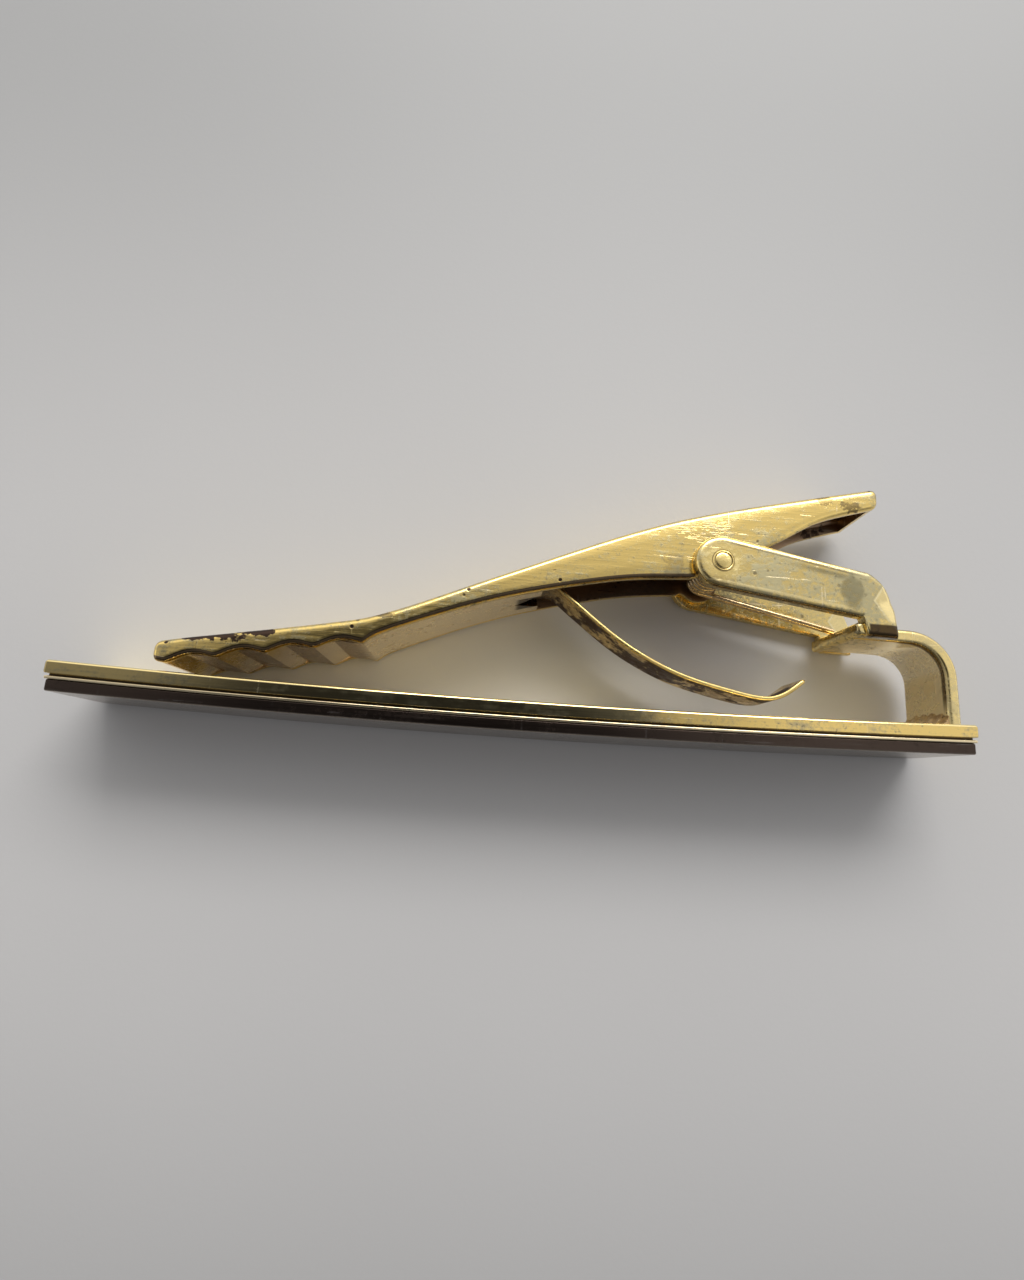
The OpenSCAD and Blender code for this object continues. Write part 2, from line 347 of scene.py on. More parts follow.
# %% Solder fillet
FILLET_SIZE, FILLET_MOST, FILLET_TALL = 1.42, 1.48, 0.8
rng = np.random.default_rng(7)
fillet = Mesh()
rings = []
foot_x = strap_x - SHEET + 0.02
for k in range(25):
    z = MID + (STRAP_W - 0.1) * (k / 24 - 0.5)
    shrink = 1 - 0.35 * abs(k / 12 - 1) ** 4
    size = FILLET_SIZE * shrink * (1 + 0.07 * math.sin(k * 1.3) + 0.03 * rng.standard_normal())
    size = min(size, FILLET_MOST)
    ground = BASE + PANEL_T + PLATE_T + bow(foot_x - size / 2) - 0.03
    ring = [(foot_x, ground + FILLET_TALL * size)]
    for s in range(1, 9):
        t = math.radians(10 * s + 4)
        ring.append((foot_x - size * (1 - math.cos(t)),
                     ground + 0.03 + FILLET_TALL * size * (1 - math.sin(t))))
    ring += [(foot_x - size, ground + 0.02), (foot_x - size * 0.5, ground), (foot_x, ground)]
    rings.append([(x, y, z) for x, y in ring])
fillet.loft(rings)
foot_fillet = fillet.piece("foot_solder")

# %% Rivet
def circle(r, count):
    angles = [2 * math.pi * k / count for k in range(count)]
    return [(r * math.cos(t), r * math.sin(t)) for t in angles]


def turned(mesh, profile, centre):
    """Spins a profile of radius and height about the line through the centre."""
    mesh.loft([[(centre.x + x, centre.y + y, z) for x, y in circle(r, 48)] for r, z in profile])


rivet = Mesh()
SHANK_R = 0.54
head = [(0.01, 0.0), (0.25, 0.004), (0.45, 0.015), (0.54, 0.03), (0.575, 0.055), (0.59, 0.078),
        (0.61, 0.078), (0.625, 0.045), (0.66, 0.03), (0.7, 0.035), (0.73, 0.06), (0.745, 0.1),
        (0.745, 0.29), (SHANK_R, 0.295)]
turned(rivet, head + [(SHANK_R, MID)] + [(r, WIDE - z) for r, z in reversed(head)], pivot)
pivot_rivet = rivet.piece("pivot_rivet_head", 30)

# %% [markdown]
# ## The jaw
# The jaw is one stamping, folded into a channel that is open towards the bar. Each section is the outside of
# the fold and, within the channel, its inside too. At the nose and the tail the metal closes the channel, so
# the sections there have an outside only, and they shrink to round the ends.

# %% Jaw outlines
JAW_T, CHEEK_R, EAR_GAP = 0.6, 1.45, 0.06
TAPER_X, TAPER_L = -9, 19
TOP_KEYS = [(-23.6, 4.05), (-22.2, 4.4), (-13.4, 6.05), (-9.2, 7.15), (-2.1, 10.35), (7, 14.4),
            (13.2, 16.5), (24.3, 19.2)]
SHANK_KEYS = [(-10.6, 4.95), (-9, 5.95), (-2, 8.74), (5.9, 10.77), (11.3, 11.4)]
TAIL_KEYS = [(14.4, 12.9), (17.4, 14.54), (20.65, 16.46), (24.8, 17.8)]
TOOTH_X0, TOOTH_L, TEETH, TOOTH_D = -22.8, 3.05, 4, 0.38
SOLE_Y0, SOLE_RISE = 2.78, 2.17
top_curve = np.array(curve(TOP_KEYS, 8))
low_curve = np.array(curve(SHANK_KEYS, 8) + curve(TAIL_KEYS, 8))


def jaw_top(x):
    return BASE + float(np.interp(x, top_curve[:, 0], top_curve[:, 1]))


def jaw_low(x):
    u = (x - TOOTH_X0) / TOOTH_L
    if u < 0:
        y = SOLE_Y0 - 0.3 * u
    elif u < TEETH:
        scallop = (math.sin(math.pi * (u % 1)) ** 2 + 1e-4) ** 0.62
        y = SOLE_Y0 + SOLE_RISE * u / TEETH + TOOTH_D * scallop
    else:
        y = float(np.interp(x, low_curve[:, 0], low_curve[:, 1]))
    y += BASE
    off = abs(x - pivot.x)
    if off < CHEEK_R:
        y = min(y, pivot.y - math.sqrt(CHEEK_R ** 2 - off * off))
    return y


def half_wide(x):
    """Half the jaw's width: full at the nose, and narrow between the ears."""
    neck = (WIDE - 2 * SHEET) / 2 - EAR_GAP
    t = min(1.0, max(0.0, (x - TAPER_X) / TAPER_L))
    return WIDE / 2 + (neck - WIDE / 2) * t


# %% Jaw sections
ROOF_R, FOOT_R = 0.42, 0.3


def turns(first, last, step):
    return [math.radians(a) for a in range(first, last, step)]


def outside(x, shrink=0.0):
    """From the near wall's inner foot, over the roof, to the far wall's inner foot."""
    w, lo, hi = half_wide(x) - shrink, jaw_low(x) + shrink, jaw_top(x) - shrink
    r, rb = min(ROOF_R, (hi - lo) / 3), FOOT_R
    side = [(lo + 0.02, w - JAW_T + 0.02), (lo, w - JAW_T + 0.1)]
    side += [(lo + rb * (1 - math.cos(t)), w - rb + rb * math.sin(t)) for t in turns(0, 91, 18)]
    side += [(lo + rb + (hi - r - lo - rb) * k / 4, w) for k in range(1, 4)]
    side += [(hi - r + r * math.sin(t), w - r + r * math.cos(t)) for t in turns(0, 91, 15)]
    roof = [(hi, (w - r) * 0.4), (hi, -(w - r) * 0.4)]
    return [(x, y, MID + z) for y, z in side + roof] + [(x, y, MID - z) for y, z in reversed(side)]


def within(x):
    """The channel's inside, from the far wall's foot back to the near wall's."""
    w, lo, hi = half_wide(x) - JAW_T, jaw_low(x), jaw_top(x) - JAW_T * 1.05
    r = min(FOOT_R, (hi - lo) / 3)
    side = [(lo + 0.1, w), (hi - r, w)]
    side += [(hi - r + r * math.sin(t), w - r + r * math.cos(t)) for t in turns(18, 91, 18)]
    return [(x, y, MID - z) for y, z in side] + [(x, y, MID + z) for y, z in reversed(side)]


# %% Jaw shell
END_R = 0.38
nose_x, tail_x = jaw_lo.x, jaw_hi.x
end_steps = [(END_R * (1 - math.sin(t)), END_R * (1 - math.cos(t))) for t in turns(0, 91, 18)]
channel_x = list(np.linspace(nose_x + JAW_T, TAPER_X, 72)) \
    + list(np.linspace(TAPER_X, tail_x - JAW_T, 110))[1:]
shell = Mesh()
outer_rows = [shell.add(outside(nose_x + d, s)) for d, s in reversed(end_steps)]
first = len(outer_rows)
outer_rows += [shell.add(outside(x)) for x in channel_x]
last = len(outer_rows) - 1
outer_rows += [shell.add(outside(tail_x - d, s)) for d, s in end_steps]
inner_rows = [shell.add(within(x)) for x in channel_x]
print("jaw sections", len(outer_rows), "outside and", len(inner_rows), "inside")

# %% Jaw faces
for i, (a, b) in enumerate(zip(outer_rows, outer_rows[1:])):
    for k in range(len(a) - 1):
        shell.faces.append((a[k], a[k + 1], b[k + 1], b[k]))
    if i < first or i >= last:
        shell.faces.append((a[-1], a[0], b[0], b[-1]))
for i, (a, b) in enumerate(zip(inner_rows, inner_rows[1:])):
    pa, pb = outer_rows[first + i], outer_rows[first + i + 1]
    for k in range(len(a) - 1):
        shell.faces.append((a[k], a[k + 1], b[k + 1], b[k]))
    shell.faces.append((pa[-1], a[0], b[0], pb[-1]))
    shell.faces.append((a[-1], pa[0], pb[0], b[-1]))
for row, ring in ((first, inner_rows[0]), (last, inner_rows[-1])):
    shell.faces.append((outer_rows[row][-1], *ring, outer_rows[row][0]))
shell.faces += [tuple(outer_rows[0]), tuple(outer_rows[-1])]
jaw_shell = shell.piece("jaw_shell_plated")

# %% Jaw finishes: 0 outside, 1 inside, 2 the dark rolled foot
# Slot 1, the channel's inside, and slot 2, the rolled foot that faces down, get dark finishes that paint their
# shade.
counts = [0, 0, 0]
for face in jaw_shell.data.polygons:
    x, y, z = face.center / MM
    side = abs(z - MID) - half_wide(x)
    between_ends = nose_x + JAW_T - 0.1 < x < tail_x - JAW_T + 0.1
    at_foot = y < jaw_low(x) + 0.34 and face.normal.y < -0.12 and abs(face.normal.z) > 0.45
    if side < 0.02 - JAW_T and y < jaw_top(x) - JAW_T * 0.8 and between_ends:
        face.material_index = 1
    elif side > -0.3 and at_foot and x < 11.5:
        face.material_index = 2
    counts[face.material_index] += 1
print("faces of each finish", counts)

# %% [markdown]
# ## The sole, with its notch
# The toothed sole closes the jaw's front half. It is a surface with one row of points for each place along
# the jaw, and a Solidify modifier gives it its thickness. Past the notch's point the middle two rows part.

# %% Sole's underside
SOLE_T, CREST = 0.5, 0.36
NOTCH_L, NOTCH_HALF = 1.9, 1.25
sole_hi = boxes["jaw_sole"][1].x
NOTCH_X = sole_hi - NOTCH_L


def sole_low(x):
    """The sole's underside: flat facets that meet at a ridge, one pair to each scallop."""
    u = (x - TOOTH_X0) / TOOTH_L
    if u <= 0 or u >= TEETH:
        return jaw_low(x)
    part = u % 1
    rise = part / CREST if part < CREST else (1 - part) / (1 - CREST)
    return BASE + SOLE_Y0 + SOLE_RISE * u / TEETH + TOOTH_D * 1.15 * rise


columns = [0.0, 0.25, 0.5, 0.75, 1.0]


def sole_row(x):
    """One row across the sole, in two halves that part in the notch."""
    part = NOTCH_HALF * ease((x - NOTCH_X) / NOTCH_L) if x > NOTCH_X else 0.0
    w = half_wide(x) - JAW_T
    half = [part + (w - part) * c for c in columns]
    return [(x, sole_low(x) + 0.01, MID + z) for z in [-h for h in reversed(half)] + half]


# %% Sole
sole = Mesh()
steps = (0.0, 0.03, 0.12, CREST - 0.06, CREST - 0.01, CREST + 0.01, CREST + 0.08, 0.7, 0.94, 0.985)
facet_x = [TOOTH_X0 + TOOTH_L * (k + d) for k in range(TEETH) for d in steps]
sole_x = [nose_x + JAW_T] + facet_x + list(np.linspace(TOOTH_X0 + TOOTH_L * TEETH, sole_hi, 46))
rows = [sole.add(sole_row(x)) for x in sole_x]
for a, b in zip(rows, rows[1:]):
    for k in range(len(a) - 1):
        if k != len(columns) - 1:  # the middle pair of points is where the notch opens
            sole.faces.append((a[k], a[k + 1], b[k + 1], b[k]))
jaw_sole = sole.piece("jaw_sole_toothed", 12, flats=False)
solid = jaw_sole.modifiers.new("thickness", "SOLIDIFY")
solid.thickness = SOLE_T * MM
mean_y = sum(p.normal.y for p in jaw_sole.data.polygons) / len(jaw_sole.data.polygons)
solid.offset = -1.0 if mean_y < 0 else 1.0
print("sole faces", "down" if mean_y < 0 else "up")

# %% [markdown]
# ## The springs
# The closing spring is real wire: a helix round the rivet with a straight leg at each end. One leg bears on
# the web, and the other under the jaw's tail. The fabric tongue is a thin leaf with a turned-up tip. Both are
# a small section carried along a line, which is how wire and strip are made.

# %% Spring sizes
def along(points, ring_of):
    """Carries a ring along a line of 3-D points without twisting it."""
    p = [Vector(q) for q in points]
    ways = [(p[min(i + 1, len(p) - 1)] - p[max(i - 1, 0)]).normalized() for i in range(len(p))]
    up = Vector((0, 0, 1)) if abs(ways[0].z) < 0.9 else Vector((0, 1, 0))
    out = []
    for here, way in zip(p, ways):
        up = (up - way * up.dot(way)).normalized()
        side = way.cross(up)
        out.append([here + up * a + side * b for a, b in ring_of])
    return out


WIRE_R, COIL_R, TURNS, PITCH = 0.24, 0.95, 5, 0.56
LEG_REACH, COUNT = 0.7, 200
coil_l = (TURNS - 1) * PITCH
coil_z0 = MID - coil_l / 2
leg_web = np.array([web_end + LEG_REACH - pivot.x, web_top(web_end + LEG_REACH) + 0.3 - pivot.y])
leg_tail = np.array([21.4 - pivot.x, BASE + 17.5 - 0.25 - pivot.y])


def leg_turn(leg, way):
    """Where on the coil a straight leg leaves it, as an angle; way is 1 or -1 for the side it leaves on."""
    return math.atan2(leg[1], leg[0]) + way * (math.asin(COIL_R / np.linalg.norm(leg)) - math.pi / 2)


def on_coil(a):
    return np.array([COIL_R * math.cos(a), COIL_R * math.sin(a)])


def straight(a, b, z, parts):
    """Points from a to b, round the pivot, at one height."""
    return [(pivot.x + a[0] + (b[0] - a[0]) * t, pivot.y + a[1] + (b[1] - a[1]) * t, z) for t in parts]


# %% Closing spring
web_turn, tail_turn = leg_turn(leg_web, 1), leg_turn(leg_tail, -1)
sweep = 2 * math.pi * (TURNS - 1) + (web_turn - tail_turn) % (2 * math.pi)
points = straight(leg_web, on_coil(web_turn), coil_z0, (0.0, 0.25, 0.5, 0.75, 0.9, 0.97))
for k in range(COUNT + 1):
    t = k / COUNT
    x, y = on_coil(web_turn - sweep * t)
    points.append((pivot.x + x, pivot.y + y, coil_z0 + coil_l * (0.3 * ease(t) + 0.7 * t)))
points += straight(on_coil(web_turn - sweep), leg_tail, coil_z0 + coil_l, (0.03, 0.1, 0.25, 0.5, 0.75, 1.0))
wire = Mesh()
wire.loft(along(points, circle(WIRE_R, 12)))
closing_spring = wire.piece("closing_spring_wire", 60)
print("coil of", round(math.degrees(sweep)), "degrees")

# %% Fabric tongue
LEAF_KEYS = [(-0.6, 9.9), (0.5, 10.3), (1.9, 10.28), (3, 9.45), (5.9, 7.2), (8.1, 5.85), (10.7, 4.7),
             (13.6, 3.95), (16.3, 3.5), (17.8, 3.8), (19.4, 4.95)]
TONGUE_W, TONGUE_T, LEAF_ROUND = 3.2, 0.3, 0.12
leaf = curve(LEAF_KEYS, 8)
tongue = Mesh()
rings = []
for i, (x, y) in enumerate(leaf):
    way = leaf[min(i + 1, len(leaf) - 1)] - leaf[max(i - 1, 0)]
    n = np.array([-way[1], way[0]]) / np.linalg.norm(way)
    gone = min(math.dist((x, y), leaf[0]), math.dist((x, y), leaf[-1]))
    s = end_shrink(gone, LEAF_ROUND)
    thin, wide = TONGUE_T / 2 - s, TONGUE_W / 2 - s
    ring = rounded(-thin, thin, MID - wide, MID + wide, 0.11, 4)
    rings.append([(x + a * n[0], BASE + y + a * n[1], z) for a, z in ring])
tongue.loft(rings)
fabric_tongue = tongue.piece("fabric_tongue_leaf")

# %% [markdown]
# ## Joining the pieces to the clip
# Each piece rides on the body that carries it, so it moves with the jaw or stays with the bar. The closing
# spring is baked where it stands and joins neither body.

# %% Bodies and stand-ins
def settle(obj, body, slot, *nodes):
    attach(obj, body)
    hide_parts(*nodes)


settle(back_plate, "bar", "bright_gold", "back_plate")
settle(front_panel, "bar", "dark_gold", "front_panel")
settle(bridge_yoke, "bar", "brushed_gold", "bridge_yoke")
settle(foot_fillet, "bar", "solder", "foot_fillet")
settle(pivot_rivet, "bar", "bright_gold", "pivot_rivet")
settle(jaw_shell, "jaw", "brushed_gold", "jaw_shell")
settle(jaw_sole, "jaw", "dark_gold", "jaw_sole")
settle(fabric_tongue, "tongue", "tarnished_gold", "fabric_tongue")
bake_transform(closing_spring)
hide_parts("closing_spring")

# %% [markdown]
# ## Shader maths in plain Python
# A material is a graph of nodes, and wiring it by hand hides the idea. Here a small class wraps a socket, so
# that 1 - mask or noise * 0.3 adds the Math nodes it needs, and one method makes every other node.

# %% Sockets
class Value:
    """One output socket, and the sums that can be done on it."""
    def __init__(self, maker, socket):
        self.maker, self.socket = maker, socket

    def _math(self, operation, *others):
        return self.maker.node("ShaderNodeMath", {"operation": operation}, *others)

    def __add__(self, other): return self._math("ADD", self, other)
    def __radd__(self, other): return self._math("ADD", other, self)
    def __sub__(self, other): return self._math("SUBTRACT", self, other)
    def __rsub__(self, other): return self._math("SUBTRACT", other, self)
    def __mul__(self, other): return self._math("MULTIPLY", self, other)
    def __rmul__(self, other): return self._math("MULTIPLY", other, self)
    def __pow__(self, other): return self._math("POWER", self, other)


def set_stops(ramp, stops):
    while len(ramp.elements) < len(stops):
        ramp.elements.new(0.5)
    for element, (place, colour) in zip(ramp.elements, stops):
        element.position = place
        element.color = (*colour, 1)


# %% Nodes
class Maker:
    """Builds one material, or the world's shading when it is given the world's tree."""
    def __init__(self, name, tree=None):
        if tree is None:
            self.material = bpy.data.materials.new(name)
            self.material.use_nodes = True
            tree = self.material.node_tree
        self.tree = tree
        self.tree.nodes.clear()

    def node(self, kind, settings=None, *inputs, out=0, **named):
        """Adds any node. Sockets are given in order or by name; out=None gives every output."""
        n = self.tree.nodes.new(kind)
        for key, value in (settings or {}).items():
            if key == "stops":
                set_stops(n.color_ramp, value)
            else:
                setattr(n, key, value)
        by_name = [(n.inputs[k.replace("_", " ")], v) for k, v in named.items()]
        for socket, value in list(zip(n.inputs, inputs)) + by_name:
            if isinstance(value, Value):
                self.tree.links.new(value.socket, socket)
            elif value is not None:
                socket.default_value = value
        if out is None:
            return [Value(self, socket) for socket in n.outputs]
        return Value(self, n.outputs[out]) if len(n.outputs) else None

    def place(self):
        return self.node("ShaderNodeTexCoord", out="Object")

    def axes(self, where):
        return self.node("ShaderNodeSeparateXYZ", None, where, out=None)

    def stretched(self, scale, turn=(0, 0, 0), shift=(0, 0, 0)):
        return self.node("ShaderNodeMapping", None, self.place(), Scale=scale, Rotation=turn, Location=shift)

    def noise(self, where, scale, detail=4.0, rough=0.55):
        return self.node("ShaderNodeTexNoise", {"noise_dimensions": "3D"}, Vector=where, Scale=scale,
                         Detail=detail, Roughness=rough)

    def mix(self, factor, a, b):
        """A colour between two colours. The Mix node's colour sockets come after five others."""
        colours = [c if isinstance(c, Value) else (*c, 1) for c in (a, b)]
        return self.node("ShaderNodeMix", {"data_type": "RGBA"}, factor, *[None] * 5, *colours, out=2)

    def larger(self, a, b):
        return self.node("ShaderNodeMath", {"operation": "MAXIMUM"}, a, b)

    def size(self, value):
        return self.node("ShaderNodeMath", {"operation": "ABSOLUTE"}, value)

    def band(self, value, low, high):
        """0 at low, 1 at high, smooth between; low may be the larger of the two."""
        return self.node("ShaderNodeMapRange", {"interpolation_type": "SMOOTHSTEP"}, value, low, high, 0.0, 1.0)

    def between(self, value, low_0, low_1, high_0, high_1):
        """1 inside a stripe with two soft edges, 0 outside it."""
        return self.band(value, low_0, low_1) * (1 - self.band(value, high_0, high_1))

    def oval(self, *axes):
        """0 in an oval's middle and 1 on its edge. Each axis is a value, the middle and the half length."""
        parts = [((value - middle) * (1 / half)) ** 2.0 for value, middle, half in axes]
        return sum(parts[1:], parts[0])

    def surface(self, colour, rough, height, strength, depth=0.00002, metallic=1.0):
        bump = self.node("ShaderNodeBump", None, Strength=strength, Distance=depth, Height=height)
        shader = self.node("ShaderNodeBsdfPrincipled", None, Base_Color=colour, Metallic=metallic,
                           Roughness=rough, Normal=bump)
        self.node("ShaderNodeOutputMaterial", None, shader)
        return self.material


# %% [markdown]
# ## Marks on gold plate
# Handled plate has tarnish in spots with broken edges, long thin scratches, hairlines where something rubbed,
# and small pits. Each could be painted on an image. Noise makes them here, because it has no seams and stays
# sharp close up. X, Y and Z reach these helpers in millimetres.

# %% Tarnish, scratches, hairlines and pits
def tarnish_spots(m, axes, stain, fine, speck, patches):
    """Adds ovals of tarnish. Each patch is its middle, its half lengths and its strength."""
    for middle, halves, power in patches:
        off = m.oval(*zip(axes, middle, halves))
        spot = m.band((1 - off) + (fine - 0.5) * 2.8 + (speck - 0.5) * 2.8, 0.05, 0.45)
        stain = m.larger(stain, spot * power)
    return stain


def scratches(m, fine, amount):
    """Long thin cuts in two directions, broken up by the fine noise."""
    one = m.noise(m.stretched((90, 2600, 900), turn=(0, 0, 0.5)), 1.6, 2.0, 0.5)
    two = m.noise(m.stretched((2400, 120, 900), turn=(0, 0, 0.35)), 1.6, 2.0, 0.5)
    cut = m.larger(m.band(one, 0.66, 0.7), m.band(two, 0.67, 0.71))
    return cut * m.band(fine, 0.42, 0.6) * amount


def hairlines(m, x, y, middle, halves):
    """Crossed fine lines that fade out towards the edge of an oval."""
    off = m.oval((x, middle[0], halves[0]), (y, middle[1], halves[1]))
    one = m.noise(m.stretched((700, 7000, 900), turn=(0, 0, 1.15)), 1.5, 2.0, 0.5)
    two = m.noise(m.stretched((600, 6000, 900), turn=(0, 0, 1.7)), 1.5, 2.0, 0.5)
    return m.larger(m.band(one, 0.58, 0.64), m.band(two, 0.6, 0.66)) * (1 - m.band(off, 0.4, 1.1))


def pit_holes(m, here):
    """The middles of small cells, but only where a wider noise is high."""
    cells = m.node("ShaderNodeTexVoronoi", {"feature": "F1"}, Vector=here, Scale=1300.0)
    rare = m.band(m.noise(here, 420.0, 2.0), 0.54, 0.6)
    return (1 - m.band(cells, 0.12, 0.22)) * rare


# %% [markdown]
# ## Gold plate, bright and brushed
# Gold plate over brass is one metal with three moods: bright yellow where it is still polished, a greenish
# grey where handling has dulled it, and brown where it has tarnished. Noise at a few sizes decides where each
# shows, and the brushed marks are noise stretched along the piece.

# %% Gold
def gold(name, bright, dull, brown, dull_at, brown_at, rough, brush, brush_axis=(60, 1500, 1500), pits=0.0,
         bump=0.25, patches=(), tint=None, scratch=1.0, scuffed=None):
    """One finish: three colours, where dull and brown begin, the roughness from bright to dull, and marks."""
    m = Maker(name)
    here = m.place()
    x, y, z = (v * (1 / MM) for v in m.axes(here))
    cloud = m.noise(here, 210.0, 5.0, 0.62)
    fine = m.noise(here, 1100.0, 4.0, 0.62)
    lines = m.noise(m.stretched(brush_axis), 2.2, 4.0, 0.7)
    speck = m.noise(here, 3200.0, 3.0, 0.6)
    worn = m.band(cloud * 0.34 + fine * 0.2 + speck * 0.24 + lines * 0.22, dull_at, dull_at + 0.13)
    blotch = m.noise(m.stretched((1, 1, 1), shift=(0.3, 0.1, 0.2)), 300.0, 6.0, 0.7)
    stain = tarnish_spots(m, (x, y, z), m.band(blotch, brown_at, brown_at + 0.06), fine, speck, patches)
    cut = scratches(m, fine, scratch)
    colour = m.mix(worn, bright, dull)
    if scuffed:
        hairs = hairlines(m, x, y, *scuffed)
        colour = m.mix(hairs * 0.5, colour, brown)
        cut = m.larger(cut, hairs * 0.8)
    colour = m.mix(cut * 0.55, colour, tuple(0.4 + 0.6 * c for c in bright))
    colour = m.mix(m.band(speck, 0.6, 0.72) * worn * 0.45, colour, brown)
    colour = m.mix(stain, colour, brown)
    shine = rough[0] + worn * (rough[1] - rough[0]) + stain * 0.2 + (lines - 0.5) * 0.16 + cut * 0.1
    height = lines * brush + fine * 0.2 + speck * (0.1 + worn * 0.3) - stain * 0.4 - cut * 0.5
    if pits:
        hole = pit_holes(m, here)
        colour = m.mix(hole * pits, colour, brown)
        height = height - hole * (pits * 1.5)
    if tint:
        colour, shine = tint(m, x, y, z, colour, shine, fine)
    return m.surface(colour, shine, height, bump)


# %% [markdown]
# ## Bands along the bar, the tongue and the sole
# The bar's side shows its layers: a thin rolled edge with a painted highlight, a flat painted darker on its
# left part as shade, a groove painted dark as shade, a lip with a painted highlight, and a dark panel whose
# lowest sliver carries a painted reflection of the table. They follow the bar's bow, so a layer is found from a
# height that has the bow taken away. The tongue has a painted shadow at its root, and on the sole the longer
# side of each facet is painted darker as shade, with painted shade in the notch.

# %% Layers of the bar
PLATE_TOP = PANEL_T + PLATE_T
SHADOW_BROWN = (0.05, 0.03, 0.02)


def height_in_bar(x, y):
    return (y - BASE) - (x * (1 / HALF)) ** 2.0 * BOW


def plate_layers(m, x, y, z, colour, shine, fine):
    # Painted light on the bar's side: a painted highlight on the rolled top edge and on the lip, painted shade
    # in the groove, and painted shade darkening the flat left of about x = 8 mm.
    h = height_in_bar(x, y)
    lip_top, groove_top = PANEL_T + LIP_T, PANEL_T + LIP_T + GROOVE_T
    lip_highlight = 1 - m.band(h, lip_top - 0.03, lip_top + 0.01)
    groove_shade = m.between(h, lip_top - 0.01, lip_top + 0.02, groove_top - 0.03, groove_top + 0.02)
    left = (1 - m.band(x + (fine - 0.5) * 6.0, 6.0, 10.5)) * (0.72 + 0.28 * m.band(x, -27.0, -12.0))
    roll_highlight = m.band(h, PLATE_TOP - 0.18, PLATE_TOP - 0.12)
    flat = m.between(h, groove_top, groove_top + 0.04, PLATE_TOP - 0.15, PLATE_TOP - 0.09)
    colour = m.mix(flat * left * 0.9, colour, (0.2, 0.18, 0.115))
    colour = m.mix(roll_highlight, colour, (1.0, 0.82, 0.4))
    colour = m.mix(lip_highlight, colour, (0.9, 0.76, 0.5))
    colour = m.mix(groove_shade, colour, (0.05, 0.035, 0.02))
    return colour, shine + groove_shade * 0.2


def panel_layers(m, x, y, z, colour, shine, fine):
    # Painted reflection: the panel's lowest sliver is painted a pale grey-brown, standing in for the table
    # mirrored in its front face.
    face = 1 - m.band(height_in_bar(x, y), 0.05, 0.09)
    return m.mix(face, colour, (0.32, 0.27, 0.22)), shine


# %% Tongue and sole
def leaf_root_shadow_and_edge(m, x, y, z, colour, shine, fine):
    # Painted shadow: the tongue's root, under the jaw, is painted shadow brown. The near edge is painted a
    # brighter gold and made a little smoother.
    edge = MID + TONGUE_W / 2
    near = m.band(z, edge - 0.1, edge - 0.02)
    root_shadow = 1 - m.band(x, 1.0, 3.0)
    colour = m.mix(near * 0.8, colour, (0.86, 0.66, 0.26))
    return m.mix(root_shadow * 0.9, colour, SHADOW_BROWN), shine - near * 0.04


def facet_shade(m, x, y, z, colour, shine, fine):
    # Painted shade: the longer side of each facet is painted brown as the facets turned from the light, and the
    # notch is painted shadow brown.
    u = (x - TOOTH_X0) * (1 / TOOTH_L)
    part = m.node("ShaderNodeMath", {"operation": "FRACT"}, u)
    long_side_shade = m.band(part, CREST - 0.02, CREST + 0.02) * (1 - m.band(u, TEETH - 0.3, TEETH + 0.1))
    colour = m.mix(long_side_shade * 0.8, colour, (0.3, 0.19, 0.12))
    notch = m.band(x, NOTCH_X + 0.1, NOTCH_X + 0.5) * (1 - m.band(m.size(z - MID), 1.2, 1.45))
    return m.mix(notch, colour, SHADOW_BROWN), shine


# %% [markdown]
# ## The bridge's finish
# The ear's rolled edge has a painted highlight on top and painted shade below, with a painted dark line and a
# painted bright line along it. A painted bright halo and two rings of painted shade, in the head's groove and
# at its rim, mark the rivet. The heel is polished up to its ridge and painted brighter as its highlight, the
# strap's inner face has a painted pale reflection, its bend is painted a brighter gold, and its near rim is
# painted dark as shade.
# Each of these is a small function, and they are laid over the gold one after the other.

# %% Ear and rivet
def near_side(m, z):
    return m.band(z, WIDE - 0.7, WIDE - 0.3)


def above_pivot(x, y, slope):
    """Height over a line through the pivot that falls towards the heel."""
    return (y - pivot.y) + (x - pivot.x) * math.tan(slope)


def ear_edge(m, x, y, z, colour, shine, fine):
    # Painted light on the ear's rolled edges: painted shade along the lower edge, a painted highlight along the
    # top, a painted dark line inside the top roll and a painted bright line above the lower edge.
    outer = near_side(m, z)
    lower = above_pivot(x, y, SLOPE) + EAR_R
    upper = above_pivot(x, y, TOP_SLOPE)
    low_edge_shade = outer * (1 - m.band(lower, 0.02, 0.16)) * (1 - m.band(x, 22.3, 22.6))
    colour = m.mix(low_edge_shade * 0.8, colour, (0.16, 0.11, 0.07))
    top_edge_highlight = m.band(upper, EAR_R - 0.32, EAR_R - 0.12) * (1 - m.band(x, 21.0, 23.0)) * outer
    colour = m.mix(top_edge_highlight * 0.8, colour, (1.0, 0.8, 0.36))
    roll_shade_line = m.between(upper, EAR_R - 0.52, EAR_R - 0.44, EAR_R - 0.38, EAR_R - 0.3) \
        * outer * (1 - m.band(x, 21.6, 23.0))
    colour = m.mix(roll_shade_line * (0.35 + 0.5 * fine), colour, (0.2, 0.16, 0.1))
    low_highlight_line = m.between(lower, 0.24, 0.34, 0.44, 0.56) * outer * (1 - m.band(x, 22.0, 22.5))
    return m.mix(low_highlight_line * 0.55, colour, (1.0, 0.82, 0.42)), shine - top_edge_highlight * 0.05


